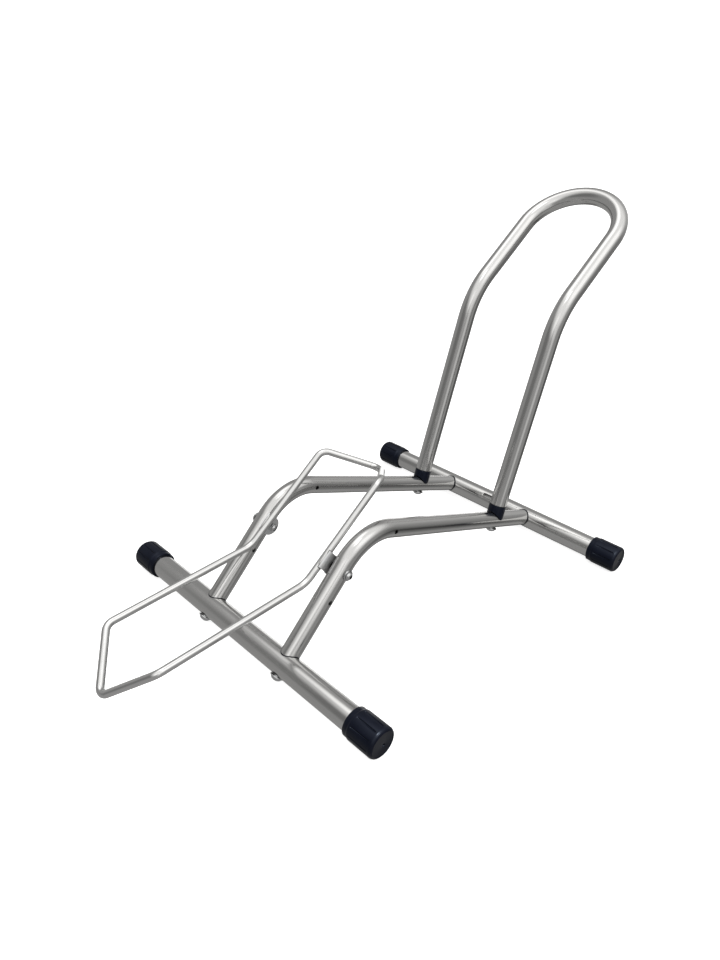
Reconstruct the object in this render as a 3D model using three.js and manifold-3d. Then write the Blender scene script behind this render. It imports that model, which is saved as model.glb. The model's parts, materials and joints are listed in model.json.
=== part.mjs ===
// Floor bike rack: two crossbars, two bent side tubes, a wheel hoop on plastic saddles,
// and a rod cradle that rocks on two pivot bolts when the wheel is rolled in.
// Millimetres and degrees. +X is the rack's right-hand side, +Y points to the hoop, +Z is up.
// The origin is on the floor, under the middle of the rack.
import * as THREE from 'three';
import { mergeVertices, toCreasedNormals } from 'three/addons/utils/BufferGeometryUtils.js';
import Module from 'manifold-3d';

const wasm = await Module();
wasm.setup();

// ---------- driving dimensions ----------

// Crossbars and their end caps
const barDiameter = 32;
const barWall = 1.5;
const barSpacing = 513.5;        // front crossbar's axis to rear crossbar's axis
const rackWidth = 490;           // over the end caps
const capDiameter = 40;
const capLength = 46;
const capEndWall = 4;
const capCollarLength = 6;       // smooth collar before the ribs
const capCollarDrop = 1;         // how far the collar lies below the ribs
const capRimChamfer = 3;
const capRimBand = 4;            // smooth band between the ribs and the chamfer
const capFaceRise = 1;           // the end face is a shallow cone
const capRibCount = 10;
const capGrooveWidth = 2.4;
const capGrooveDepth = 1.2;
const capPipDiameter = 4;        // moulding recess in the middle of the end face
const capPipDepth = 2;
const slotLength = 18;           // oblong hole in the rear crossbar
const slotWidth = 5.5;
const slotCentreX = 4;
const slotAngle = 40;            // from straight up, towards the front

// Side tubes and hoop share one tube size
const tubeDiameter = 25.4;
const tubeWall = 1.5;
const sideOffset = 76.2;         // middle of the rack to each side tube
const frontRise = 46.3;          // slope of the lower stretch
const rearFall = 19.8;           // slope of the upper stretch
const sideBendRadius = 75;
const spareHoleDiameter = 6;
const lowHoleDistance = 92.5;    // along the lower stretch from the front crossbar's axis
const pivotDistance = 132;       // the same, to the cradle's pivot bolts

// Wheel hoop
const hoopJointDistance = 101.7; // along the upper stretch from the rear crossbar's axis
const legLean = 16.9;            // lower legs, from upright
const legLength = 320;           // side tube's axis to the leg's bend
const topLean = 53;              // upper hoop, from upright
const topLength = 225.6;         // leg's bend to the crown of the hoop
const legBendRadius = 120;

// Saddle under each hoop leg
const saddleHeight = 25;         // side tube's axis to the foot of the leg
const saddleDiameter = 26.2;
const saddleEarTip = 3.5;        // side tube's axis to the blunt tips of the ears
const spigotLength = 8;

// Screws of the frame, and the threaded plugs that they pull on
const boltDiameter = 8;
const boltHeadDiameter = 14;
const boltHeadHeight = 4.4;
const boltSocket = 5;
const barBoltLength = 60;
const hoopBoltLength = 60;
const plugLength = 18;
const barPlugDistance = 20;      // crossbar's axis to the plug

// Shape shared by the button heads, as parts of the head's radius and height
const headFlat = 0.45;
const headShoulder = 0.82;
const headShoulderHeight = 0.75;
const headRimHeight = 0.25;
const socketDepth = 0.6;
const shankTip = 0.8;            // chamfer at the end of the shank

// Cradle
const rodDiameter = 9.5;
const rockerBend = 34.4;         // between the front and rear arms
const kneeRadius = 35;
const rodCornerRadius = 16;
const noseRadius = 10;
const armHeight = 14.2;          // pivot to the rear arm's axis
const kneeDistance = 37.1;       // pivot to the knee, along the rear arm
const rearArmLength = 160.4;     // knee to rear corner
const frontArmLength = 208.2;    // knee to front corner
const noseReach = 46.9;          // front corner to nose, along the front arm
const noseDrop = 39.6;
const tailReach = 30.3;          // rear corner to tail, along the rear arm
const tailDrop = 60.3;
const cradleTilt = 38.65;        // slope of the rear arms as the rack stands

// Pivot brackets and their hardware
const strapWidth = 24;
const strapEndRadius = 13;       // round end about the pivot
const strapThickness = 2;
const hookEnd = 48;              // where the strap's curl ends, from the outer side over the top
const pivotDiameter = 6;
const pivotLength = 40;
const pivotHeadDiameter = 10.5;
const pivotHeadHeight = 4;
const pivotSocket = 4;
const washerDiameter = 14;
const washerThickness = 2.2;
const spacerDiameter = 13;       // between side tube and bracket
const spacerThickness = 0.8;
const nutFlats = 10;
const nutHexHeight = 4.5;
const nutCollarDiameter = 8.8;
const nutCollarHeight = 1.5;

const gap = 0.3;                 // between pieces that touch
const margin = 1;                // cutters run past the faces they cut

// ---------- facets ----------
const barSides = 32;
const capSides = 32;
const tubeSides = 24;
const boreSides = 12;
const rodSides = 12;
const screwSides = 14;
const holeSides = 12;
const coarseTurn = 12.5;          // largest turn between two rings of a bent tube, in degrees
const rodTurn = 18;

// ---------- materials ----------
const finish = (color, roughness, metalness) =>
  new THREE.MeshStandardMaterial({ color, roughness, metalness });
const silverPaint = () => finish(0xb3b4b2, 0.38, 0.75);
const brightRod = () => finish(0xc6c7c6, 0.25, 0.9);
const zincPlate = () => finish(0x9fa1a2, 0.35, 0.9);
const blackPlastic = () => finish(0x15171c, 0.55, 0.0);

// ---------- small tools ----------
const rad = THREE.MathUtils.degToRad;
const up = new THREE.Vector3(0, 0, 1);

/** Unit vector in the YZ plane, rising from +Y by an angle in degrees. */
const heading = (degrees) => new THREE.Vector3(0, Math.cos(rad(degrees)), Math.sin(rad(degrees)));

/** One position for each shared corner, and no collapsed triangles. */
function weld(geometry) {
  const bare = geometry.clone();
  bare.deleteAttribute('normal');
  bare.deleteAttribute('uv');
  const merged = mergeVertices(bare, 1e-4);
  const kept = [];
  for (let i = 0; i < merged.index.count; i += 3) {
    const [a, b, c] = [0, 1, 2].map((k) => merged.index.getX(i + k));
    if (a !== b && b !== c && c !== a) kept.push(a, b, c);
  }
  merged.setIndex(kept);
  return merged;
}

function toSolid(geometry) {
  const welded = weld(geometry);
  return new wasm.Manifold(new wasm.Mesh({
    numProp: 3,
    vertProperties: new Float32Array(welded.attributes.position.array),
    triVerts: new Uint32Array(welded.index.array),
  }));
}

function toGeometry(solid) {
  const { vertProperties, triVerts } = solid.getMesh();
  const geometry = new THREE.BufferGeometry();
  geometry.setAttribute('position', new THREE.BufferAttribute(vertProperties, 3));
  geometry.setIndex(new THREE.BufferAttribute(triVerts, 1));
  return geometry;
}

const cut = (geometry, ...tools) =>
  toGeometry(tools.reduce((solid, tool) => solid.subtract(toSolid(tool)), toSolid(geometry)));
const join = (geometry, ...others) =>
  toGeometry(others.reduce((solid, other) => solid.add(toSolid(other)), toSolid(geometry)));
const common = (geometry, other) => toGeometry(toSolid(geometry).intersect(toSolid(other)));

/** Corners of a polygon inside a circle, or round it where something has to fit through. */
function circle(diameter, sides, outside = false, turn = 0) {
  const radius = diameter / 2 / (outside ? Math.cos(Math.PI / sides) : 1);
  return Array.from({ length: sides }, (_, i) => {
    const angle = turn + (2 * Math.PI * i) / sides;
    return new THREE.Vector2(radius * Math.cos(angle), radius * Math.sin(angle));
  });
}

const prism = (outline, height, holes = []) => {
  const shape = new THREE.Shape(outline);
  shape.holes = holes.map((points) => new THREE.Path(points));
  return new THREE.ExtrudeGeometry(shape, { depth: height, bevelEnabled: false });
};

/** Ring or sleeve along +Z. */
const sleeve = (outer, bore, length, sides) =>
  prism(circle(outer, sides), length, [circle(bore, sides, true)]);

/** Cutter for a round hole along Z, through the origin both ways. */
const drill = (diameter, length, facets = holeSides) =>
  prism(circle(diameter, facets, true), length).translate(0, 0, -length / 2);

/** Turned shape about +Z from [radius, height] pairs. */
function turned(profile, sides) {
  const points = profile.map(([radius, height]) => new THREE.Vector2(radius, height));
  return new THREE.LatheGeometry(points, sides).rotateX(Math.PI / 2);
}

/** Turns a shape's +Z to a heading in the YZ plane. */
const aimed = (geometry, degrees) => geometry.rotateX(rad(degrees - 90));

/** Turns a shape's +Z to +X. */
const alongX = (geometry) => geometry.rotateY(Math.PI / 2);

/** Path of a bent tube: straights between corners, an arc at each, rings only where it turns. */
class BentPath extends THREE.Curve {
  constructor(corners, radii, largestTurn) {
    super();
    this.stations = [];
    const last = corners.length - 1;
    const ahead = corners.slice(1).map((corner, i) => corner.clone().sub(corners[i]).normalize());
    this.addStation(corners[0], ahead[0]);
    for (let i = 1; i < last; i++) {
      this.addArc(corners[i], ahead[i - 1], ahead[i], radii[i - 1], rad(largestTurn));
    }
    this.addStation(corners[last], ahead[last - 1]);
  }

  addStation(point, tangent) {
    const previous = this.stations.at(-1);
    if (previous && previous.point.distanceTo(point) < 1e-6) return;
    this.stations.push({ point, tangent });
  }

  addArc(corner, before, after, radius, largestTurn) {
    const turn = before.angleTo(after);
    const side = after.clone().addScaledVector(before, -Math.cos(turn)).normalize();
    const start = corner.clone().addScaledVector(before, -radius * Math.tan(turn / 2));
    const steps = Math.ceil(turn / largestTurn);
    for (let k = 0; k <= steps; k++) {
      const angle = (turn * k) / steps;
      const point = start.clone()
        .addScaledVector(before, radius * Math.sin(angle))
        .addScaledVector(side, radius * (1 - Math.cos(angle)));
      const tangent = before.clone().multiplyScalar(Math.cos(angle))
        .addScaledVector(side, Math.sin(angle));
      this.addStation(point, tangent);
    }
  }

  get steps() { return this.stations.length - 1; }
  stationAt(u) { return this.stations[Math.round(u * this.steps)]; }
  getPointAt(u) { return this.stationAt(u).point.clone(); }
  getTangentAt(u) { return this.stationAt(u).tangent.clone(); }
}

function swept(path, outline, holes = []) {
  const shape = new THREE.Shape(outline);
  shape.holes = holes.map((points) => new THREE.Path(points));
  return new THREE.ExtrudeGeometry(shape, { steps: path.steps, extrudePath: path });
}

const bentTube = (path) => swept(
  path, circle(tubeDiameter, tubeSides), [circle(tubeDiameter - 2 * tubeWall, boreSides, true)]);

function piece(name, geometry, material) {
  const mesh = new THREE.Mesh(toCreasedNormals(weld(geometry), rad(25)), material);
  mesh.name = name;
  return mesh;
}

/** Places a piece or group, leaning so that its +Z has a heading in the YZ plane. */
function placed(object, x, point, degrees = 90) {
  object.position.set(x, point.y, point.z);
  object.rotation.x = rad(degrees - 90);
  return object;
}

const sides = [{ name: 'left', sign: -1 }, { name: 'right', sign: 1 }];

// ---------- layout, from the front crossbar's axis ----------
const frontAxis = new THREE.Vector3(0, 0, 0);
const rearAxis = new THREE.Vector3(0, barSpacing, 0);
const upFront = heading(frontRise);
const upRear = heading(180 - rearFall);
const sideCornerDistance =
  (barSpacing * Math.sin(rad(rearFall))) / Math.sin(rad(frontRise + rearFall));
const sideCorner = upFront.clone().multiplyScalar(sideCornerDistance);
const bendReach = sideBendRadius * Math.tan(rad(frontRise + rearFall) / 2);
const lowHole = upFront.clone().multiplyScalar(lowHoleDistance);
const pivot = upFront.clone().multiplyScalar(pivotDistance);
const upperHole = sideCorner.clone().addScaledVector(upRear, -bendReach);
const hoopJoint = rearAxis.clone().addScaledVector(upRear, hoopJointDistance);
const footOfLeg = saddleHeight + gap;
// the leg isn't quite square to the side tube, so one side of the screw's head comes closer
const hoopHeadSeat = tubeDiameter / 2 + gap
  + (boltHeadDiameter / 2) * Math.sin(rad(Math.abs(rearFall - legLean)));

// ---------- crossbars and end caps ----------
const barLength = rackWidth - 2 * (capEndWall + gap);

function crossbar(name, boltHeading, ...cutters) {
  const bar = prism(circle(barDiameter, barSides, false, Math.PI / barSides), barLength,
    [circle(barDiameter - 2 * barWall, tubeSides, true)]).translate(0, 0, -barLength / 2);
  const holes = sides.map(({ sign }) =>
    aimed(drill(boltDiameter + 2 * gap, 2 * barDiameter), boltHeading)
      .translate(sign * sideOffset, 0, 0));
  return piece(name, cut(alongX(bar), ...holes, ...cutters), silverPaint());
}

/** Oblong hole through the bar's upper front wall only. */
function slotCutter() {
  const straight = (slotLength - slotWidth) / 2;
  const outline = new THREE.Shape();
  outline.absarc(straight, 0, slotWidth / 2, -Math.PI / 2, Math.PI / 2);
  outline.absarc(-straight, 0, slotWidth / 2, Math.PI / 2, (3 * Math.PI) / 2);
  const cutter = new THREE.ExtrudeGeometry(outline,
    { depth: barDiameter, bevelEnabled: false, curveSegments: 4 });
  return aimed(cutter, 90 + slotAngle).translate(slotCentreX, 0, 0);
}

/** Ribbed push-on cap, its mouth at the origin and its closed end at +Z. */
function endCap(name) {
  const outer = capDiameter / 2 / Math.cos(Math.PI / capSides);
  const collar = outer - capCollarDrop;
  const bore = (barDiameter / 2 + gap) / Math.cos(Math.PI / capSides);
  const floor = capLength - capEndWall;
  const faceEdge = outer - capRimChamfer;
  const pip = capPipDiameter / 2;
  const body = turned([
    [0, floor], [bore, floor], [bore, 0], [collar, 0], [collar, capCollarLength],
    [outer, capCollarLength + 2 * capCollarDrop],
    [outer, capLength - capFaceRise - capRimChamfer],
    [faceEdge, capLength - capFaceRise],
    [pip, capLength], [pip, capLength - capPipDepth], [0, capLength - capPipDepth],
  ], capSides).rotateZ(Math.PI / capSides);
  return piece(name, cut(body, ...grooveCutters(outer)), blackPlastic());
}

function grooveCutters(outer) {
  const start = capCollarLength + capCollarDrop;
  const end = capLength - capFaceRise - capRimChamfer - capRimBand;
  const deep = outer - capGrooveDepth;
  const high = outer + capGrooveDepth;
  const ramp = 2 * (high - deep);
  const outline = [[deep, start + ramp], [deep, end - ramp], [high, end], [high, start]]
    .map(([x, y]) => new THREE.Vector2(x, y));
  return Array.from({ length: capRibCount }, (_, i) =>
    prism(outline, capGrooveWidth)
      .translate(0, 0, -capGrooveWidth / 2)
      .rotateX(Math.PI / 2)
      .rotateZ(((i + 0.5) * 2 * Math.PI) / capRibCount));
}

// ---------- side tubes ----------
function sideTube(name) {
  const path = new BentPath([frontAxis, sideCorner, rearAxis], [sideBendRadius], coarseTurn);
  const saddled = [frontAxis, rearAxis].map((axis) =>
    alongX(drill(barDiameter + 2 * gap, 2 * tubeDiameter, barSides))
      .translate(0, axis.y, axis.z));
  const through = (diameter, at) =>
    alongX(drill(diameter, 2 * tubeDiameter)).translate(0, at.y, at.z);
  const hoopBoltHole = aimed(drill(boltDiameter + 2 * gap, 2 * tubeDiameter), 90 - legLean)
    .translate(0, hoopJoint.y, hoopJoint.z);
  return piece(name, cut(bentTube(path), ...saddled, hoopBoltHole,
    through(spareHoleDiameter, lowHole), through(spareHoleDiameter, upperHole),
    through(pivotDiameter + 2 * gap, pivot)), silverPaint());
}

// ---------- wheel hoop and its saddles ----------
function wheelHoop() {
  const legUp = heading(90 - legLean);
  const topUp = heading(90 - topLean);
  const foot = hoopJoint.clone().addScaledVector(legUp, footOfLeg);
  const knee = hoopJoint.clone().addScaledVector(legUp, legLength);
  const crown = knee.clone().addScaledVector(topUp, topLength);
  const halves = [foot, knee, crown];
  const corners = [
    ...halves.map((point) => point.clone().setX(-sideOffset)),
    ...halves.toReversed().map((point) => point.clone().setX(sideOffset)),
  ];
  const radii = [legBendRadius, sideOffset, sideOffset, legBendRadius];
  return piece('wheel_hoop', bentTube(new BentPath(corners, radii, coarseTurn)), silverPaint());
}

/** Plastic foot of a hoop leg: fish-mouthed onto the side tube, with a spigot in the leg. */
function hoopSaddle(name) {
  const top = saddleHeight + spigotLength;
  const outer = saddleDiameter / 2;
  const spigot = tubeDiameter / 2 - tubeWall - gap;
  const body = turned([
    [0, saddleEarTip], [outer, saddleEarTip], [outer, saddleHeight], [spigot, saddleHeight],
    [spigot, top], [0, top],
  ], tubeSides);
  const tubeSpace = aimed(drill(tubeDiameter + 2 * gap, 4 * outer, tubeSides),
    legLean - rearFall);
  const boltHole = drill(boltDiameter + 2 * gap, 4 * top);
  return piece(name, cut(body, tubeSpace, boltHole), blackPlastic());
}

// ---------- screws and plugs ----------

/** Button-head screw: head below the origin, shank along +Z, hexagon socket in the head. */
function buttonScrew(name, diameter, length, headDiameter, headHeight, socket) {
  const head = headDiameter / 2;
  const shank = diameter / 2;
  const screw = turned([
    [0, -headHeight], [headFlat * head, -headHeight],
    [headShoulder * head, -headShoulderHeight * headHeight],
    [head, -headRimHeight * headHeight], [head, 0],
    [shank, 0], [shank, length - shankTip], [shank - shankTip, length], [0, length],
  ], screwSides);
  const key = prism(circle(socket, 6, true), headHeight)
    .translate(0, 0, (socketDepth - 2) * headHeight);
  return piece(name, cut(screw, key), zincPlate());
}

const plug = (name) => piece(name,
  sleeve(tubeDiameter - 2 * tubeWall - 2 * gap, boltDiameter + 2 * gap, plugLength, screwSides),
  zincPlate());

// ---------- cradle, from the pivot axis with its rear arms along +Y ----------
const spacerOuterFace = sideOffset - tubeDiameter / 2 - gap;
const strapOuterFace = spacerOuterFace - spacerThickness - gap;
const strapInnerFace = strapOuterFace - strapThickness;
const armOffset = strapInnerFace - gap - rodDiameter / 2;

function cradleRod() {
  const back = heading(0);
  const front = heading(180 - rockerBend);
  const frontDown = heading(270 - rockerBend);
  const weldPoint = new THREE.Vector3(0, 0, armHeight);
  const knee = weldPoint.clone().addScaledVector(back, -kneeDistance);
  const rear = knee.clone().addScaledVector(back, rearArmLength);
  const tail = rear.clone().addScaledVector(back, tailReach).addScaledVector(up, -tailDrop);
  const fore = knee.clone().addScaledVector(front, frontArmLength);
  const nose = fore.clone().addScaledVector(front, noseReach)
    .addScaledVector(frontDown, noseDrop);
  const right = (point) => point.clone().setX(armOffset);
  const left = (point) => point.clone().setX(-armOffset);
  // the rod's two ends meet inside the left bracket
  const start = left(weldPoint).addScaledVector(back, gap / 2);
  const end = left(weldPoint).addScaledVector(back, -gap / 2);
  const corners = [start, left(rear), tail, right(rear), right(knee), right(fore), nose,
    left(fore), left(knee), end];
  const r = rodCornerRadius;
  const radii = [r, r, r, kneeRadius, r, noseRadius, r, kneeRadius];
  const path = new BentPath(corners, radii, rodTurn);
  return piece('cradle_rod', swept(path, circle(rodDiameter, rodSides)), brightRod());
}

/** Strap curled onto the rod's crown, its flange running down to a round end at the bolt. */
function cradleBracket(name) {
  const inside = rodDiameter / 2 + gap;
  const outside = inside + strapThickness;
  const bottom = -armHeight - strapEndRadius - margin;
  const end = rad(hookEnd);
  const profile = new THREE.Shape();
  profile.moveTo(outside, bottom);
  profile.lineTo(outside, 0);
  profile.absarc(0, 0, outside, 0, end);
  profile.absarc(0, 0, inside, end, 0, true);
  profile.lineTo(inside, bottom);
  const strap = new THREE.ExtrudeGeometry(profile,
    { depth: 2 * strapEndRadius, bevelEnabled: false, curveSegments: 8 })
    .rotateX(Math.PI / 2).translate(armOffset, strapEndRadius, armHeight);

  // seen from the side, the flange widens a little to its round end
  const top = armHeight + outside + margin;
  const blend = Math.acos(strapWidth / 2 / strapEndRadius);
  const outline = new THREE.Shape();
  outline.absarc(0, 0, strapEndRadius, Math.PI - blend, 2 * Math.PI + blend);
  outline.lineTo(strapWidth / 2, top);
  outline.lineTo(-strapWidth / 2, top);
  const sideView = new THREE.ExtrudeGeometry(outline,
    { depth: 4 * rodDiameter, bevelEnabled: false, curveSegments: 12 })
    .rotateX(Math.PI / 2).rotateZ(Math.PI / 2).translate(armOffset - 2 * rodDiameter, 0, 0);
  const hole = alongX(drill(pivotDiameter + 2 * gap, 4 * sideOffset));
  return piece(name, cut(common(strap, sideView), hole), zincPlate());
}

// ---------- pivot hardware, from the pivot axis ----------
const washerInnerFace = sideOffset + tubeDiameter / 2 + gap;
const headSeat = washerInnerFace + washerThickness + gap;
const nutOuterFace = strapInnerFace - gap;

const ring = (name, diameter, thickness) => piece(name,
  sleeve(diameter, pivotDiameter + 2 * gap, thickness, screwSides), zincPlate());

function pivotNut(name) {
  const bore = circle(pivotDiameter + 2 * gap, screwSides, true);
  const hexagon = prism(circle(nutFlats, 6, true), nutHexHeight, [bore]);
  const collar = prism(circle(nutCollarDiameter, screwSides), nutHexHeight + nutCollarHeight,
    [bore]);
  return piece(name, join(hexagon, collar), zincPlate());
}

/** Puts a piece on the pivot axis of one side, its +Z pointing inwards from a given X. */
function onPivot(mesh, x, sign) {
  mesh.position.set(sign * x, pivot.y, pivot.z);
  mesh.rotation.y = (-sign * Math.PI) / 2;
  return mesh;
}

// ---------- assembly ----------
const frame = new THREE.Group();

for (const { end, axis, boltHeading, cutters } of [
  { end: 'front', axis: frontAxis, boltHeading: frontRise, cutters: [] },
  { end: 'rear', axis: rearAxis, boltHeading: 180 - rearFall, cutters: [slotCutter()] },
]) {
  frame.add(placed(crossbar(`${end}_crossbar`, boltHeading, ...cutters), 0, axis));
  for (const { name, sign } of sides) {
    const cap = endCap(`${end}_${name}_end_cap`);
    cap.position.set(sign * (rackWidth / 2 - capLength), axis.y, axis.z);
    cap.rotation.y = (sign * Math.PI) / 2;
    frame.add(cap);

    const joint = placed(new THREE.Group(), sign * sideOffset, axis, boltHeading);
    const screw = buttonScrew(`${end}_${name}_crossbar_screw`, boltDiameter, barBoltLength,
      boltHeadDiameter, boltHeadHeight, boltSocket);
    screw.position.z = -barDiameter / 2 - gap;
    const insert = plug(`${end}_${name}_threaded_plug`);
    insert.position.z = barPlugDistance;
    joint.add(screw, insert);
    frame.add(joint);
  }
}

frame.add(wheelHoop());

for (const { name, sign } of sides) {
  frame.add(placed(sideTube(`${name}_side_tube`), sign * sideOffset, frontAxis));

  const joint = placed(new THREE.Group(), sign * sideOffset, hoopJoint, 90 - legLean);
  const screw = buttonScrew(`${name}_hoop_screw`, boltDiameter, hoopBoltLength,
    boltHeadDiameter, boltHeadHeight, boltSocket);
  screw.position.z = -hoopHeadSeat;
  const insert = plug(`${name}_hoop_threaded_plug`);
  insert.position.z = saddleHeight + spigotLength + gap;
  joint.add(hoopSaddle(`${name}_hoop_saddle`), screw, insert);
  frame.add(joint);

  const washer = ring(`${name}_pivot_washer`, washerDiameter, washerThickness);
  const spacer = ring(`${name}_pivot_spacer`, spacerDiameter, spacerThickness);
  const bolt = buttonScrew(`${name}_pivot_bolt`, pivotDiameter, pivotLength,
    pivotHeadDiameter, pivotHeadHeight, pivotSocket);
  frame.add(onPivot(bolt, headSeat, sign));
  frame.add(onPivot(washer, washerInnerFace + washerThickness, sign));
  frame.add(onPivot(spacer, spacerOuterFace, sign));
  frame.add(onPivot(pivotNut(`${name}_pivot_nut`), nutOuterFace, sign));
}

const cradle = placed(new THREE.Group(), 0, pivot, 90 + cradleTilt);
cradle.add(cradleRod());
for (const { name, sign } of sides) {
  const bracket = cradleBracket(`${name}_cradle_bracket`);
  bracket.rotation.z = sign > 0 ? 0 : Math.PI;
  cradle.add(bracket);
}
frame.add(cradle);

const rack = new THREE.Group();
rack.add(frame);
frame.position.z = capDiameter / 2;
const box = new THREE.Box3().setFromObject(rack, true);
frame.position.y = -(box.min.y + box.max.y) / 2;

export default rack;
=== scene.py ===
"""Floor bike rack: smooth tubes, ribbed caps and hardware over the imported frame, their finishes,
and a pale studio. Sizes are in metres, in the frame's own axes: +X right, +Y to the hoop, +Z up."""
import json
import math

import bmesh
import bpy
from mathutils import Matrix, Vector

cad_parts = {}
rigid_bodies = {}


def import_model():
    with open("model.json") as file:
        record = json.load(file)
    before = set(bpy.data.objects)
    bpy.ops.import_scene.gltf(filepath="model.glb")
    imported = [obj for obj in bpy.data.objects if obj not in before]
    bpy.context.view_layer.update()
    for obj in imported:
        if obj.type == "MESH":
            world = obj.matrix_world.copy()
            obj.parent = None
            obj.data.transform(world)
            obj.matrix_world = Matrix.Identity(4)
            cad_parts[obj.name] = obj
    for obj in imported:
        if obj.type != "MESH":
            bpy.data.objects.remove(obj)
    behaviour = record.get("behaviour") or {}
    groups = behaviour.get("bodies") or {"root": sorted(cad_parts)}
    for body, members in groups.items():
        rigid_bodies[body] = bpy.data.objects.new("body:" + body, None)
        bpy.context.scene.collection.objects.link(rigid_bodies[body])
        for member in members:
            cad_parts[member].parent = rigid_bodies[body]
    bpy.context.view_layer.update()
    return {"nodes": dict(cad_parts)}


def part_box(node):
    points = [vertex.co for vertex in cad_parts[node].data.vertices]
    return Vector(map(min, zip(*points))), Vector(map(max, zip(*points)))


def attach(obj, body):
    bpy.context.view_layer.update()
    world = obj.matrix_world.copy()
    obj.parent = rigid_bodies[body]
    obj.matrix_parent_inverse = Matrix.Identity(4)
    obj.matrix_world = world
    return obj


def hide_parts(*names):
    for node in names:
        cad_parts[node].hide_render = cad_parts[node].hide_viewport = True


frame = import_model()

MM = 0.001
RACK, CRADLE = "rack_frame", "cradle"
SIDES = (("left", -1), ("right", 1))
X, Z = Vector((1, 0, 0)), Vector((0, 0, 1))


def heading(degrees):
    """Unit vector in the YZ plane, rising from +Y."""
    return Vector((0, math.cos(math.radians(degrees)), math.sin(math.radians(degrees))))


def centre_of(node):
    low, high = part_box(node)
    return (low + high) / 2


# ---------- sizes ----------
RACK_WIDTH = 490 * MM
BAR, TUBE, WALL = 32 * MM, 25.4 * MM, 1.5 * MM
SIDE = 76.2 * MM                        # middle of the rack to a side tube
FRONT_RISE, REAR_FALL = 46.3, 19.8      # slopes of a side tube's straights, degrees
LEG_LEAN, TOP_LEAN = 16.9, 53           # the hoop's straights from upright, degrees
LEG_LENGTH, TOP_LENGTH = 320 * MM, 225.6 * MM
SIDE_BEND, HOOP_BEND = 75 * MM, 120 * MM
LOW_HOLE_AT, PIVOT_AT = 92.5 * MM, 132 * MM     # up a side tube from the front bar's middle
HOOP_AT = 101.7 * MM                    # up a side tube from the rear bar's middle
GAP = 0.3 * MM
SEAM, REAR_SEAM = 0.9 * MM, 2.2 * MM    # what shows of the gaps round the tubes' ends

SCREW_HOLE, PIVOT_HOLE, SPARE_HOLE = 8.6 * MM, 6.6 * MM, 6 * MM
SLOT_LENGTH, SLOT_WIDTH = 18 * MM, 5.5 * MM
SLOT_SHIFT, SLOT_TURN = 4 * MM, 40      # right of the middle; forward of the top, degrees
LINER, LINER_LENGTH = 25 * MM, 44 * MM

CAP, CAP_LENGTH, CAP_END = 40 * MM, 46 * MM, 4 * MM
CAP_RIBS = 10
REAR_CAP_TURN = -17                     # degrees
SADDLE, SADDLE_HEIGHT = 26.2 * MM, 25 * MM
EAR_TIP, SPIGOT_LENGTH = 3.5 * MM, 8 * MM

# screws: diameter and length; heads: flange, its rim, dome, height and socket
LONG_SCREW, PIVOT_SCREW = (8 * MM, 60 * MM), (6 * MM, 40 * MM)
FLANGED_HEAD = (17.8 * MM, 1.6 * MM, 14.4 * MM, 6.0 * MM, 5 * MM)
PIVOT_HEAD = (10.5 * MM, 0.8 * MM, 9.6 * MM, 4 * MM, 4 * MM)
WASHER, WASHER_THICKNESS = 14 * MM, 2.2 * MM
SPACER, SPACER_THICKNESS = 11 * MM, 0.8 * MM
NUT, NUT_HEX, NUT_HEIGHT = 10 * MM, 5 * MM, 7.8 * MM    # across flats, hexagon, whole

ROD, ROD_RISE = 9.5 * MM, 14.2 * MM     # its diameter; its middle above the pivot
CRADLE_TILT, ROCKER_BEND = 38.65, 34.4  # degrees
KNEE_AHEAD, REAR_ARM, ROCKER = 37.1 * MM, 160.4 * MM, 208.2 * MM
TAIL_REACH, TAIL_DROP = 30.3 * MM, 60.3 * MM
NOSE_REACH, NOSE_DROP = 46.9 * MM, 39.6 * MM
ROD_BEND, KNEE_BEND, NOSE_BEND = 16 * MM, 35 * MM, 10 * MM
STRAP_WIDTH, STRAP, STRAP_END = 24 * MM, 2 * MM, 13 * MM    # width, thickness, end's radius
CURL = 48                               # degrees of rod that the strap's curl covers

# facets round a circle
BAR_SIDES, TUBE_SIDES, CUTTER_SIDES, HOLE_SIDES, HEAD_SIDES = 144, 112, 144, 40, 64

front_axis = centre_of("front_crossbar")
rear_axis = centre_of("rear_crossbar")
up_front, up_rear = heading(FRONT_RISE), heading(180 - REAR_FALL)
spacing = (rear_axis - front_axis).length
side_turn = math.radians(FRONT_RISE + REAR_FALL)
side_corner = front_axis + up_front * (
    spacing * math.sin(math.radians(REAR_FALL)) / math.sin(side_turn))
low_hole = front_axis + up_front * LOW_HOLE_AT
pivot = front_axis + up_front * PIVOT_AT
upper_hole = side_corner - up_rear * SIDE_BEND * math.tan(side_turn / 2)
hoop_joint = rear_axis + up_rear * HOOP_AT
leg_up, top_up = heading(90 - LEG_LEAN), heading(90 - TOP_LEAN)
strap_outer = SIDE - TUBE / 2 - 2 * GAP - SPACER_THICKNESS
arm = strap_outer - STRAP - GAP - ROD / 2


# ---------- camera ----------
def add_camera():
    right = Vector((0.69945210, 0.71399122, 0.03135777))
    down = Vector((0.36498195, -0.31913787, -0.87460802))
    away = Vector((-0.61445500, 0.62319143, -0.48381556))
    place = Vector((609.7301, -420.7616, 632.8153)) * MM + front_axis
    focal, frame_height = 735.164, 960      # pixels
    camera = bpy.data.objects.new("camera", bpy.data.cameras.new("camera"))
    camera.data.sensor_width = 36
    camera.data.lens = camera.data.sensor_width * focal / frame_height
    camera.data.clip_start, camera.data.clip_end = 0.02, 60
    turn = Matrix((right, -down, -away)).transposed().to_4x4()
    camera.matrix_world = Matrix.Translation(place) @ turn
    bpy.context.scene.collection.objects.link(camera)
    bpy.context.scene.camera = camera


add_camera()


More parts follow.
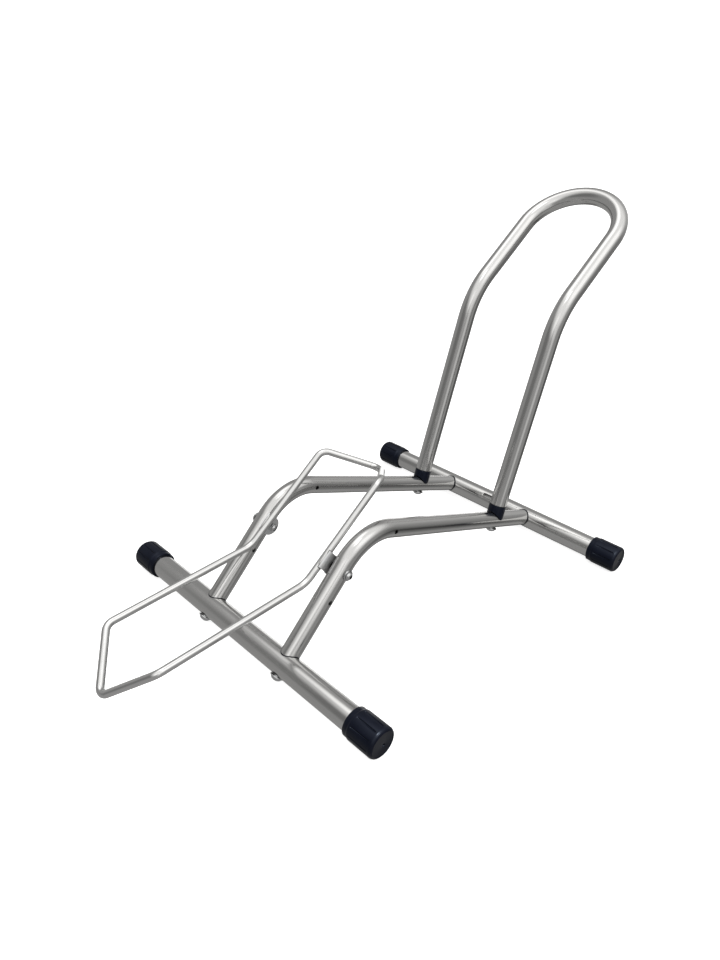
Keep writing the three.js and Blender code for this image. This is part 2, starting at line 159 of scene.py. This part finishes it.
# ---------- shader arithmetic ----------
class Signal:
    """A shader output that takes part in Python arithmetic; each operator adds a Math node."""

    def __init__(self, paint, socket):
        self.paint, self.socket = paint, socket

    def maths(self, operation, *values):
        return self.paint.node("ShaderNodeMath", {"operation": operation},
                               dict(enumerate(values)))

    def __add__(self, other):
        return self.maths("ADD", self, other)

    def __mul__(self, other):
        return self.maths("MULTIPLY", self, other)

    __radd__, __rmul__ = __add__, __mul__


class Paint:
    """The nodes of a material or a world, each made and linked in one call."""

    def __init__(self, owner, place="Object"):
        self.owner = owner
        owner.use_nodes = True
        self.tree = owner.node_tree
        self.tree.nodes.clear()
        self.place = self.node("ShaderNodeTexCoord", output=place)

    def node(self, kind, settings=None, inputs=None, output=0):
        made = self.tree.nodes.new(kind)
        for key, value in (settings or {}).items():
            setattr(made, key, value)
        for key, value in (inputs or {}).items():
            if isinstance(value, Signal):
                self.tree.links.new(value.socket, made.inputs[key])
            else:
                made.inputs[key].default_value = value
        return Signal(self, made.outputs[output])

    def noise(self, scale, detail):
        return self.node("ShaderNodeTexNoise", None,
                         {"Vector": self.place, "Scale": scale, "Detail": detail}, "Fac")

    def steps(self, signal, dark_end, light_start):
        """Black up to one level of a signal, white from another."""
        made = self.node("ShaderNodeValToRGB", None, {"Fac": signal}, "Color")
        ramp = made.socket.node.color_ramp.elements
        for element, position, shade in zip(ramp, (dark_end, light_start), (0, 1)):
            element.position = position
            element.color = (shade, shade, shade, 1)
        return made

    def blend(self, amount, first, second):
        return self.node("ShaderNodeMix", {"data_type": "RGBA"},
                         {0: amount, 6: (*first, 1), 7: (*second, 1)}, 2)

    def bump(self, height, distance):
        return self.node("ShaderNodeBump", None,
                         {"Height": height, "Distance": distance, "Strength": 1.0}, "Normal")

    def finish(self, **sockets):
        named = {key.replace("_", " "): value for key, value in sockets.items()}
        shader = self.node("ShaderNodeBsdfPrincipled", None, named)
        self.close("ShaderNodeOutputMaterial", shader)
        return self.owner

    def close(self, kind, shader):
        out = self.tree.nodes.new(kind)
        self.tree.links.new(shader.socket, out.inputs["Surface"])


def new_paint(name):
    return Paint(bpy.data.materials.new(name))


# ---------- finishes ----------
def silver_powder_coat():
    paint = new_paint("silver_powder_coat")
    flake = paint.steps(paint.noise(2400, 1.0), 0.40, 0.68)
    drift = paint.noise(11, 3.0)
    peel = paint.noise(420, 2.0)
    return paint.finish(
        Base_Color=paint.blend(flake * 0.4 + drift * 0.5,
                               (0.535, 0.532, 0.525), (0.625, 0.622, 0.615)),
        Metallic=1.0,
        Roughness=0.12 + 0.06 * drift + 0.03 * flake,
        Normal=paint.bump(peel, 0.008 * MM))


def bright_rod():
    paint = new_paint("bright_drawn_rod")
    drift = paint.noise(38, 3.0)
    drawn = paint.noise(260, 2.0)
    return paint.finish(
        Base_Color=paint.blend(drift, (0.60, 0.60, 0.595), (0.70, 0.70, 0.695)),
        Metallic=1.0,
        Roughness=0.14 + 0.08 * drift,
        Normal=paint.bump(drawn, 0.006 * MM))


def zinc_plate(name, dark, light, dullness):
    paint = new_paint(name)
    drift = paint.noise(160, 3.0)
    grain = paint.noise(1500, 2.0)
    return paint.finish(
        Base_Color=paint.blend(drift, dark, light),
        Metallic=1.0,
        Roughness=dullness + 0.14 * drift,
        Normal=paint.bump(grain, 0.015 * MM))


def weld_steel():
    paint = new_paint("weld_steel")
    ripple = paint.noise(900, 2.0)
    return paint.finish(
        Base_Color=paint.blend(ripple, (0.50, 0.495, 0.49), (0.74, 0.74, 0.73)),
        Metallic=1.0,
        Roughness=0.22 + 0.14 * ripple,
        Normal=paint.bump(ripple, 0.12 * MM))


def black_moulding():
    paint = new_paint("black_moulding")
    drift = paint.noise(60, 3.0)
    grain = paint.noise(1900, 3.0)
    return paint.finish(
        Base_Color=paint.blend(drift, (0.0014, 0.0019, 0.0048), (0.0034, 0.0043, 0.0090)),
        Roughness=0.24 + 0.12 * drift,
        Specular_IOR_Level=0.19, Specular_Tint=(0.72, 0.82, 1.0, 1),
        Normal=paint.bump(grain, 0.02 * MM))


SILVER, BRIGHT, BLACK = silver_powder_coat(), bright_rod(), black_moulding()
ZINC = zinc_plate("zinc_plate", (0.46, 0.465, 0.47), (0.66, 0.665, 0.67), 0.14)
STRAP_ZINC = zinc_plate("strap_zinc", (0.64, 0.645, 0.65), (0.80, 0.805, 0.81), 0.36)
# Dull grey for the slot's liner: painted shade of the bar's inside.
LINER_SHADE_STEEL = zinc_plate("liner_shade_steel", (0.34, 0.34, 0.335), (0.43, 0.43, 0.425), 0.55)
# Near-black metal: painted shade in gaps and recesses (the tubes' ends in the joints, screw
# sockets, inner washers, under the straps).
PAINTED_SHADE = zinc_plate("painted_shade_metal", (0.02, 0.02, 0.02), (0.05, 0.05, 0.05), 0.5)
WELD = weld_steel()


# ---------- mesh tools ----------
def facing(direction, point):
    """Puts a shape's origin at a point and turns its +Z to a direction."""
    return Matrix.Translation(point) @ direction.to_track_quat("Z", "Y").to_matrix().to_4x4()


def verts_in(geometry):
    return [item for item in geometry if isinstance(item, bmesh.types.BMVert)]


def edges_in(geometry, verts):
    inside = set(verts)
    return [item for item in geometry
            if isinstance(item, bmesh.types.BMEdge) and set(item.verts) <= inside]


def push(bm, edges, move, longest=14 * MM):
    """Extrudes a ring of edges along a straight, in equal steps."""
    count = max(1, math.ceil(move.length / longest))
    for _ in range(count):
        made = bmesh.ops.extrude_edge_only(bm, edges=edges)["geom"]
        verts = verts_in(made)
        bmesh.ops.translate(bm, verts=verts, vec=move / count)
        edges = edges_in(made, verts)
    return edges


def bent_tube(corners, radii, diameter, sides=TUBE_SIDES, turn_step=2):
    """A ring pushed along the straights of a route and turned round its bends."""
    bm = bmesh.new()
    ahead = [(b - a).normalized() for a, b in zip(corners, corners[1:])]
    ring_verts = bmesh.ops.create_circle(bm, segments=sides, radius=diameter / 2,
                                         matrix=facing(ahead[0], corners[0]))["verts"]
    edges = list({edge for vert in ring_verts for edge in vert.link_edges})
    here = corners[0]
    for corner, before, after, radius in zip(corners[1:], ahead, ahead[1:], radii):
        turn = before.angle(after)
        reach = radius * math.tan(turn / 2)
        axis = before.cross(after).normalized()
        start = corner - before * reach
        edges = push(bm, edges, start - here)
        last = bmesh.ops.spin(bm, geom=edges, cent=start + axis.cross(before) * radius,
                              axis=axis, angle=turn,
                              steps=math.ceil(math.degrees(turn) / turn_step))["geom_last"]
        edges = edges_in(last, verts_in(last))
        here = corner + after * reach
    push(bm, edges, corners[-1] - here)
    return merged(bm)


def turned(profile, sides):
    """A profile of [radius, height] pairs spun round +Z."""
    bm = bmesh.new()
    verts = [bm.verts.new((radius, 0, height)) for radius, height in profile]
    edges = [bm.edges.new(pair) for pair in zip(verts, verts[1:])]
    bmesh.ops.spin(bm, geom=verts + edges, cent=(0, 0, 0), axis=(0, 0, 1),
                   angle=2 * math.pi, steps=sides, use_merge=True)
    return merged(bm)


def merged(bm):
    """The shape with its doubles merged and its faces pointing outwards."""
    bmesh.ops.remove_doubles(bm, verts=bm.verts, dist=1e-6)
    bmesh.ops.recalc_face_normals(bm, faces=bm.faces)
    return bm


def soften(bm, width, segments, over, only=None):
    """Bevels the edges that are sharper than an angle in degrees."""
    edges = [edge for edge in bm.edges if len(edge.link_faces) == 2
             and edge.calc_face_angle(0) > math.radians(over) and (not only or only(edge))]
    bmesh.ops.bevel(bm, geom=edges, offset=width, segments=segments, profile=0.5,
                    affect="EDGES", clamp_overlap=True, material=-1)


def cylinder(diameter, length, sides, direction, centre):
    bm = bmesh.new()
    bmesh.ops.create_cone(bm, cap_ends=True, segments=sides, radius1=diameter / 2,
                          radius2=diameter / 2, depth=length,
                          matrix=facing(direction, centre))
    return bm


def block(size, matrix):
    bm = bmesh.new()
    bmesh.ops.create_cube(bm, size=1, matrix=matrix @ Matrix.Diagonal((*size, 1)))
    return bm


def moved(bm, matrix):
    bmesh.ops.transform(bm, matrix=matrix, verts=bm.verts)
    return bm


def to_object(name, bm):
    mesh = bpy.data.meshes.new(name)
    bm.to_mesh(mesh)
    bm.free()
    made = bpy.data.objects.new(name, mesh)
    bpy.context.scene.collection.objects.link(made)
    return made


def bake_modifiers(made):
    """Keeps what the modifiers make as the object's own mesh."""
    result = made.evaluated_get(bpy.context.evaluated_depsgraph_get())
    mesh = bpy.data.meshes.new_from_object(result)
    old = made.data
    made.modifiers.clear()
    made.data = mesh
    bpy.data.meshes.remove(old)


def carved(bm, *cutters, operation="DIFFERENCE", wall=None, offset=-1):
    """The shape, given a wall thickness if wanted, after each cutter has cut it."""
    made = to_object("work", bm)
    if wall:
        shell = made.modifiers.new("wall", "SOLIDIFY")
        shell.thickness, shell.offset = wall, offset
        bake_modifiers(made)
    for cutter in cutters:
        tool = to_object("cutter", cutter)
        cut = made.modifiers.new("cut", "BOOLEAN")
        cut.operation, cut.solver, cut.object = operation, "EXACT", tool
        bake_modifiers(made)
        bpy.data.objects.remove(tool)
    result = bmesh.new()
    result.from_mesh(made.data)
    bpy.data.objects.remove(made)
    return result


def piece(name, bm, material, body=RACK, replaces=(), sharp=32, second=None):
    bmesh.ops.remove_doubles(bm, verts=bm.verts, dist=2e-6)
    made = to_object(name, bm)
    made.data.shade_smooth()
    made.data.set_sharp_from_angle(angle=math.radians(sharp))
    made.data.materials.append(material)
    if second:
        made.data.materials.append(second)
    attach(made, body)
    if replaces:
        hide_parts(*replaces)


def at_side(point, sign):
    return Vector((sign * SIDE, point.y, point.z))


def across_corners(flats):
    return flats / math.cos(math.pi / 6)


# ---------- crossbars ----------
def bolt_holes(axis, direction):
    return [cylinder(SCREW_HOLE, 2 * BAR, HOLE_SIDES, direction, at_side(axis, sign))
            for _, sign in SIDES]


def slot_cutter():
    """Oblong hole through the rear bar's upper front wall."""
    out = heading(90 + SLOT_TURN)
    middle = rear_axis + X * SLOT_SHIFT + out * BAR / 2
    reach = (SLOT_LENGTH - SLOT_WIDTH) / 2
    ends = [cylinder(SLOT_WIDTH, BAR / 2, HOLE_SIDES, out, middle + X * shift)
            for shift in (-reach, reach)]
    turn = Matrix((X, out.cross(X), out)).transposed().to_4x4()
    straight = block((2 * reach, SLOT_WIDTH, BAR / 2), Matrix.Translation(middle) @ turn)
    return [*ends, straight]


def crossbar(name, axis, *cutters):
    half = RACK_WIDTH / 2 - CAP_END - GAP
    bm = bent_tube([axis - X * half, axis + X * half], [], BAR, BAR_SIDES)
    bm = carved(bm, *cutters, wall=WALL)
    soften(bm, 0.25 * MM, 2, 40, lambda edge: all(
        abs(vert.co.x - SLOT_SHIFT) < SLOT_LENGTH / 2 + 1 * MM
        and (vert.co - axis).yz.length > BAR / 2 - 0.1 * MM for vert in edge.verts))
    piece(name, bm, SILVER, replaces=(name.replace("_bar", "_crossbar"),))


def slot_liner():
    """Tube inside the rear bar whose dull grey wall shows through the slot: painted shade standing
    for the shaded inside of the bar.
    """
    middle, half = rear_axis + X * SLOT_SHIFT, X * LINER_LENGTH / 2
    bm = bent_tube([middle - half, middle + half], [], LINER, 96)
    piece("slot_liner", carved(bm, wall=WALL), LINER_SHADE_STEEL)


slot_liner()
crossbar("front_bar", front_axis, *bolt_holes(front_axis, up_front))
crossbar("rear_bar", rear_axis, *bolt_holes(rear_axis, up_rear), *slot_cutter())


# ---------- end caps ----------
def end_cap(name, axis, sign, turn):
    """Cap with a collar, a grooved barrel, and a raised ring and a blind hole in its face."""
    outer, bore, face = CAP / 2, BAR / 2 + 0.1 * MM, CAP_LENGTH
    bm = turned([
        (0, face - CAP_END), (bore, face - CAP_END), (bore, 0), (outer - 1 * MM, 0),
        (outer - 0.9 * MM, 6 * MM), (outer, 8 * MM), (outer, face - 4.4 * MM),
        (outer - 1.2 * MM, face - 2.1 * MM), (outer - 3.3 * MM, face - 0.8 * MM),
        (outer - 3.9 * MM, face - 0.8 * MM), (outer - 4.2 * MM, face - 1.5 * MM),
        (2.2 * MM, face - 0.2 * MM), (2 * MM, face - 2 * MM), (0, face - 2.2 * MM)], 120)
    soften(bm, 0.3 * MM, 2, 14)
    low, high, taper, depth = 9.2 * MM, 40.3 * MM, 2.3 * MM, 1.2 * MM
    grooves = turned([(0, low), (depth, low + taper), (depth, high - taper), (0, high)], 24)
    pitch = 360 / CAP_RIBS
    first = Matrix.Rotation(math.radians(pitch / 2 + turn), 4, "Z")
    moved(grooves, first @ Matrix.Translation((outer, 0, 0)))
    bmesh.ops.spin(grooves, geom=grooves.verts[:] + grooves.edges[:] + grooves.faces[:],
                   cent=(0, 0, 0), axis=(0, 0, 1), angle=math.radians(pitch * (CAP_RIBS - 1)),
                   steps=CAP_RIBS - 1, use_duplicate=True)
    bm = carved(bm, grooves)
    slack = 0.2 * MM
    soften(bm, 0.3 * MM, 2, 40, lambda edge: all(
        low - slack < vert.co.z < high + slack and vert.co.xy.length > outer - slack
        for vert in edge.verts))
    mouth = Vector((sign * (RACK_WIDTH / 2 - CAP_LENGTH), axis.y, axis.z))
    turn_out = Matrix.Translation(mouth) @ Matrix.Rotation(sign * math.pi / 2, 4, "Y")
    piece(name, moved(bm, turn_out), BLACK,
          replaces=(name.replace("_cap", "_end_cap"),), sharp=50)


for side, sign in SIDES:
    end_cap(f"front_{side}_cap", front_axis, sign, 0)
    end_cap(f"rear_{side}_cap", rear_axis, sign, REAR_CAP_TURN)


# ---------- side tubes ----------
def side_tube(side, sign):
    corners = [at_side(point, sign) for point in (front_axis, side_corner, rear_axis)]
    bm = bent_tube(corners, [SIDE_BEND], TUBE)
    through = [(SPARE_HOLE, low_hole), (SPARE_HOLE, upper_hole), (PIVOT_HOLE, pivot)]
    mouths = [(front_axis, BAR / 2 + SEAM), (rear_axis, BAR / 2 + REAR_SEAM)]
    cutters = [cylinder(2 * reach, 2 * TUBE, CUTTER_SIDES, X, at_side(axis, sign))
               for axis, reach in mouths]
    cutters += [cylinder(size, 2 * TUBE, 48, X, at_side(point, sign)) for size, point in through]
    cutters.append(cylinder(SCREW_HOLE, 2 * TUBE, HOLE_SIDES, leg_up, at_side(hoop_joint, sign)))
    bm = carved(bm, *cutters, wall=WALL)
    # The tubes' cut end faces at the crossbars take the near-black finish: bare cut steel, darkened
    # as painted shade in the joints' gaps.
    for face in bm.faces:
        face.material_index = int(any(
            all(abs((vert.co - axis).yz.length - reach) < 0.05 * MM for vert in face.verts)
            for axis, reach in mouths))
    piece(f"{side}_tube", bm, SILVER, replaces=(f"{side}_side_tube",),
          second=PAINTED_SHADE)


def seam_shadow_ring(name, axis, direction, sign, seam, proud):
    """Painted shadow: a thin black ring that fills the gap between a tube's end and a crossbar."""
    start = at_side(axis, sign)
    bm = bent_tube([start + direction * 7 * MM, start + direction * 22 * MM], [],
                   TUBE + 2 * proud)
    bm = carved(bm, cylinder(BAR + 2 * seam - 0.04 * MM, 2 * TUBE, CUTTER_SIDES, X, start),
                operation="INTERSECT", wall=WALL)
    bm = carved(bm, cylinder(BAR + 0.1 * MM, 2 * TUBE, CUTTER_SIDES, X, start))
    piece(name, bm, BLACK)


# ---------- hoop and saddles ----------
def hoop():
    foot = hoop_joint + leg_up * (SADDLE_HEIGHT + SEAM)
    knee = hoop_joint + leg_up * LEG_LENGTH
    crown = knee + top_up * TOP_LENGTH
    half = [foot, knee, crown]
    corners = [at_side(point, -1) for point in half] + [at_side(point, 1) for point in half[::-1]]
    bm = bent_tube(corners, [HOOP_BEND, SIDE, SIDE, HOOP_BEND], TUBE)
    piece("hoop", carved(bm, wall=WALL), SILVER, replaces=("wheel_hoop",))


def saddle(side, sign):
    spigot, top = TUBE / 2 - WALL - GAP, SADDLE_HEIGHT + SPIGOT_LENGTH
    bm = turned([(0, EAR_TIP), (SADDLE / 2, EAR_TIP), (SADDLE / 2, SADDLE_HEIGHT),
                 (spigot, SADDLE_HEIGHT), (spigot, top), (0, top)], TUBE_SIDES)
    soften(bm, 0.4 * MM, 3, 40)
    joint = at_side(hoop_joint, sign)
    moved(bm, facing(leg_up, joint))
    bm = carved(bm, cylinder(TUBE + 2 * SEAM, 60 * MM, CUTTER_SIDES, up_rear, joint),
                cylinder(SCREW_HOLE, 90 * MM, HOLE_SIDES, leg_up, joint))
    piece(f"{side}_saddle", bm, BLACK, replaces=(f"{side}_hoop_saddle",))


# ---------- screws, nuts and washers ----------
def button_screw(name, node, size, head, seat):
    """Dome head on a thin flange below the seat's origin, shank along its +Z, hexagon socket."""
    (diameter, length), (flange, rim, dome, height, socket) = size, head
    arc = [(dome / 2 * math.sin(math.radians(angle)),
            -rim - (height - rim) * math.cos(math.radians(angle)))
           for angle in range(24, 90, 10)]
    shank, edge, chamfer = diameter / 2, flange / 2, 0.8 * MM
    bm = turned([
        (0, arc[0][1]), *arc, (dome / 2 + 0.2 * MM, -rim), (edge - 0.3 * MM, -0.85 * rim),
        (edge, -0.6 * rim), (edge, -0.2 * rim), (edge - 0.2 * MM, 0), (shank, 0),
        (shank, length - chamfer), (shank - chamfer, length), (0, length)], HEAD_SIDES)
    corner = across_corners(socket) / 2
    bm = carved(bm, cylinder(2 * corner, height, 6, Z, Vector((0, 0, -0.9 * height))))
    # The socket's walls and floor take the near-black finish: painted shade in the recess.
    for face in bm.faces:
        face.material_index = int(all(
            vert.co.xy.length < corner + 0.02 * MM and vert.co.z < -0.35 * height
            for vert in face.verts))
    piece(name, moved(bm, seat), ZINC, replaces=(node,), second=PAINTED_SHADE)


def ring(name, node, outer, thickness, seat, finish):
    bore = PIVOT_HOLE / 2
    bm = turned([(bore, 0), (outer / 2, 0), (outer / 2, thickness), (bore, thickness),
                 (bore, 0)], HEAD_SIDES)
    soften(bm, min(0.3 * MM, thickness / 4), 2, 40)
    piece(name, moved(bm, seat), finish, replaces=(node,))


def flanged_nut(name, node, seat):
    """Hexagon with rounded-off corners, and the lock ring's collar on top."""
    bm = cylinder(across_corners(NUT), NUT_HEX, 6, Z, Z * NUT_HEX / 2)
    crown = turned([(0, 0), (5.3 * MM, 0), (5.95 * MM, 0.5 * MM), (5.95 * MM, 4.4 * MM),
                    (5.2 * MM, NUT_HEX), (0, NUT_HEX)], HEAD_SIDES)
    bm = carved(bm, crown, operation="INTERSECT")
    collar = turned([(0, 3 * MM), (4.5 * MM, 3 * MM), (4.5 * MM, 6.6 * MM), (4.2 * MM, 7.4 * MM),
                     (3.7 * MM, NUT_HEIGHT), (0, NUT_HEIGHT)], 48)
    bm = carved(bm, collar, operation="UNION")
    bm = carved(bm, cylinder(PIVOT_HOLE, 30 * MM, HOLE_SIDES, Z, Vector()))
    piece(name, moved(bm, seat), ZINC, replaces=(node,))


def pivot_hardware(side, sign):
    inwards = -sign * X

    def seat(offset):
        return facing(inwards, Vector((sign * offset, pivot.y, pivot.z)))

    washer_outer = SIDE + TUBE / 2 + GAP + WASHER_THICKNESS
    button_screw(f"{side}_pivot_screw", f"{side}_pivot_bolt", PIVOT_SCREW, PIVOT_HEAD,
                 seat(washer_outer + GAP))
    ring(f"{side}_outer_washer", f"{side}_pivot_washer", WASHER, WASHER_THICKNESS,
         seat(washer_outer), ZINC)
    # The inner washer takes the near-black finish: painted shade in the gap between the tube and
    # the strap.
    ring(f"{side}_inner_washer", f"{side}_pivot_spacer", SPACER, SPACER_THICKNESS,
         seat(SIDE - TUBE / 2 - GAP), PAINTED_SHADE)
    flanged_nut(f"{side}_lock_nut", f"{side}_pivot_nut", seat(strap_outer - STRAP - GAP))


def long_screws(side, sign):
    """The screws through both crossbars, and the one up into the hoop's leg."""
    for end, axis, direction in (("front", front_axis, up_front), ("rear", rear_axis, up_rear)):
        button_screw(f"{end}_{side}_bar_screw", f"{end}_{side}_crossbar_screw", LONG_SCREW,
                     FLANGED_HEAD,
                     facing(direction, at_side(axis, sign) - direction * (BAR / 2 + GAP)))
    flange_drop = FLANGED_HEAD[0] / 2 * math.sin(math.radians(REAR_FALL - LEG_LEAN))
    button_screw(f"{side}_leg_screw", f"{side}_hoop_screw", LONG_SCREW, FLANGED_HEAD,
                 facing(leg_up, at_side(hoop_joint, sign)
                        - leg_up * (TUBE / 2 + GAP + flange_drop)))


# ---------- cradle ----------
def in_cradle(along, across, x=0):
    """A point from the pivot, along and across the rear arms."""
    return (Vector((x, pivot.y, pivot.z)) + heading(CRADLE_TILT) * along
            + heading(CRADLE_TILT + 90) * across)


def on_arm(bm, sign, place):
    """Turns a shape made for the right arm to its side, tilts it and puts it in place."""
    if sign < 0:
        moved(bm, Matrix.Rotation(math.pi, 4, "Z"))
    tilt = Matrix.Rotation(math.radians(CRADLE_TILT), 4, "X")
    return moved(bm, Matrix.Translation(place) @ tilt)


def cradle_rod():
    weld = in_cradle(0, ROD_RISE)
    knee = in_cradle(-KNEE_AHEAD, ROD_RISE)
    rear = in_cradle(REAR_ARM - KNEE_AHEAD, ROD_RISE)
    tail = in_cradle(REAR_ARM - KNEE_AHEAD + TAIL_REACH, ROD_RISE - TAIL_DROP)
    front = heading(180 - ROCKER_BEND + CRADLE_TILT)
    front_down = heading(270 - ROCKER_BEND + CRADLE_TILT)
    fore = knee + front * ROCKER
    nose = fore + front * NOSE_REACH + front_down * NOSE_DROP

    def right(point):
        return point + X * arm

    def left(point):
        return point - X * arm

    corners = [left(weld), left(rear), tail, right(rear), right(knee), right(fore), nose,
               left(fore), left(knee), left(weld)]
    radii = [ROD_BEND, ROD_BEND, ROD_BEND, KNEE_BEND, ROD_BEND, NOSE_BEND, ROD_BEND, KNEE_BEND]
    bm = bent_tube(corners, radii, ROD, 56, 3)
    piece("rod_loop", bm, BRIGHT, CRADLE, replaces=("cradle_rod",))


def bracket(side, sign):
    """Strap: a flange with a round end at the bolt, curled onto the rod's crown at the top."""
    middle = ROD / 2 + GAP + STRAP / 2
    bm = bmesh.new()
    ends = [bm.verts.new((middle, y, 0)) for y in (-STRAP_WIDTH / 2, STRAP_WIDTH / 2)]
    edges = push(bm, [bm.edges.new(ends)], Z * ROD_RISE, ROD_RISE)
    bmesh.ops.spin(bm, geom=edges, cent=(0, 0, ROD_RISE), axis=(0, -1, 0),
                   angle=math.radians(CURL), steps=16)
    bmesh.ops.recalc_face_normals(bm, faces=bm.faces)
    disc = cylinder(2 * STRAP_END, STRAP, 96, X, Vector((middle, 0, 0)))
    bm = carved(bm, disc, operation="UNION", wall=STRAP, offset=0)
    bm = carved(bm, cylinder(PIVOT_HOLE, 30 * MM, HOLE_SIDES, X, Vector((middle, 0, 0))))
    soften(bm, 0.25 * MM, 2, 50)
    piece(f"{side}_bracket", on_arm(bm, sign, in_cradle(0, 0, sign * arm)), STRAP_ZINC,
          CRADLE, replaces=(f"{side}_cradle_bracket",))


def weld_bead(side, sign):
    """Flat bead that joins the strap's curled edge to the rod."""
    edge = math.radians(CURL + 14)
    bm = bmesh.new()
    bmesh.ops.create_uvsphere(bm, u_segments=32, v_segments=20, radius=1)
    moved(bm, Matrix.Diagonal((1.8 * MM, 9.5 * MM, 1.35 * MM, 1)))
    moved(bm, Matrix.Rotation(math.pi / 2 - edge, 4, "Y"))
    reach = ROD / 2 + 0.1 * MM
    place = in_cradle(0, ROD_RISE + reach * math.sin(edge), sign * (arm + reach * math.cos(edge)))
    piece(f"{side}_weld", on_arm(bm, sign, place), WELD, CRADLE)


def strap_shadow(side, sign):
    """Painted shadow: a dark band on the rod under the strap and just past its edges."""
    radius, half = ROD / 2 + 0.25 * MM, STRAP_WIDTH / 2 + 0.9 * MM
    below, past = 50, 8     # degrees under the rod's side and past the curl
    bm = bmesh.new()
    ends = [bm.verts.new((radius, y, 0)) for y in (-half, half)]
    bmesh.ops.spin(bm, geom=[*ends, bm.edges.new(ends)], cent=(0, 0, 0), axis=(0, -1, 0),
                   angle=math.radians(below + CURL + past), steps=36)
    moved(bm, Matrix.Rotation(math.radians(below), 4, "Y"))
    bmesh.ops.recalc_face_normals(bm, faces=bm.faces)
    bm = carved(bm, wall=0.2 * MM)
    piece(f"{side}_strap_shadow", on_arm(bm, sign, in_cradle(0, ROD_RISE, sign * arm)), PAINTED_SHADE,
          CRADLE)


hoop()
for side, sign in SIDES:
    side_tube(side, sign)
    saddle(side, sign)
    pivot_hardware(side, sign)
    bracket(side, sign)
    weld_bead(side, sign)
    strap_shadow(side, sign)
    # black rings in the joints' gaps: painted shadow
    seam_shadow_ring(f"front_{side}_seam_shadow", front_axis, up_front, sign, SEAM, 0.1 * MM)
    seam_shadow_ring(f"rear_{side}_seam_shadow", rear_axis, up_rear, sign, REAR_SEAM, 0.5 * MM)
    long_screws(side, sign)
cradle_rod()

for name, node in frame["nodes"].items():
    if "threaded_plug" in name:
        node.data.materials.clear()
        node.data.materials.append(ZINC)


# ---------- studio ----------
def add_floor():
    """Pale floor that sweeps up into a wall all round; the tubes don't mirror it."""
    bm = turned([(0, 0), (7, 0), (8.6, 0.5), (9.6, 1.6), (10, 3.2), (10, 9)], 96)
    floor = to_object("floor", bm)
    floor.data.shade_smooth()
    paint = new_paint("pale_floor")
    drift = paint.noise(1.4, 2.0)
    floor.data.materials.append(paint.finish(
        Base_Color=paint.blend(drift, (0.87, 0.87, 0.87), (0.90, 0.90, 0.90)),
        Roughness=0.9, Specular_IOR_Level=0.0,
        Emission_Color=(1, 1, 1, 1), Emission_Strength=0.75))
    floor.visible_glossy = floor.visible_diffuse = floor.visible_shadow = False


def add_light(name, place, width, height, brightness):
    """A rectangular lamp that faces the rack."""
    light = bpy.data.lights.new(name, "AREA")
    light.shape, light.size, light.size_y = "RECTANGLE", width, height
    light.energy = brightness * math.pi * width * height
    lamp = bpy.data.objects.new(name, light)
    bpy.context.scene.collection.objects.link(lamp)
    place, target = Vector(place), Vector((0, 0, 0.1))
    lamp.matrix_world = facing(place - target, place)
    return lamp


def add_moulding_light():
    """A bright lamp for the black mouldings alone, to draw their ribs and corners."""
    mouldings = bpy.data.collections.new("mouldings")
    for made in bpy.context.scene.objects:
        if made.name.endswith(("_cap", "_saddle")):
            mouldings.objects.link(made)
    lamp = add_light("moulding_light", (0.9, -0.35, 2.4), 0.6, 0.6, 60)
    lamp.light_linking.receiver_collection = mouldings


# bright and dim parts of the room, in degrees: azimuth from +X, height, radius of full
# strength, radius where it ends; then how much light it adds or takes
WALLS = 0.38
ROOM = [(-20, 68, 37, 68, 0.85), (176, 71, 6, 22, 0.75), (10, 50, 8, 24, 0.45),
        (-60, 34, 5, 16, 0.25), (-24, 1, 6, 18, 0.35), (80, 15, 15, 40, 0.18),
        (129, -11, 4, 14, 1.10), (-105, 22, 15, 38, -0.15), (62, -8, 10, 30, -0.20),
        (-42, 22, 4, 13, -0.30), (112, -45, 8, 20, -0.24), (152, -55, 6, 18, -0.18),
        (95, -21, 5, 16, -0.22), (45, -30, 8, 22, -0.16)]


def add_sky():
    """The room that the tubes mirror: dim walls, wide soft light overhead."""
    sky = Paint(bpy.data.worlds.new("studio"), "Generated")
    bpy.context.scene.world = sky.owner
    light = WALLS
    for azimuth, height, full, end, brightness in ROOM:
        flat = math.cos(math.radians(height))
        toward = (flat * math.cos(math.radians(azimuth)), flat * math.sin(math.radians(azimuth)),
                  math.sin(math.radians(height)))
        nearness = sky.node("ShaderNodeVectorMath", {"operation": "DOT_PRODUCT"},
                            {0: sky.place, 1: toward}, "Value")
        light = light + brightness * sky.node(
            "ShaderNodeMapRange", {"interpolation_type": "SMOOTHSTEP"},
            {"Value": nearness, "From Min": math.cos(math.radians(end)),
             "From Max": math.cos(math.radians(full))})
    sky.close("ShaderNodeOutputWorld", sky.node(
        "ShaderNodeBackground", None, {"Color": (1.0, 0.995, 0.985, 1), "Strength": light}))


add_floor()
add_sky()
add_light("overhead", (0.3, -0.5, 3.0), 0.8, 0.8, 1.2)
add_light("side", (2.4, -1.6, 1.4), 0.4, 0.8, 0.5)
add_moulding_light()

bpy.context.scene.view_settings.view_transform = "Standard"
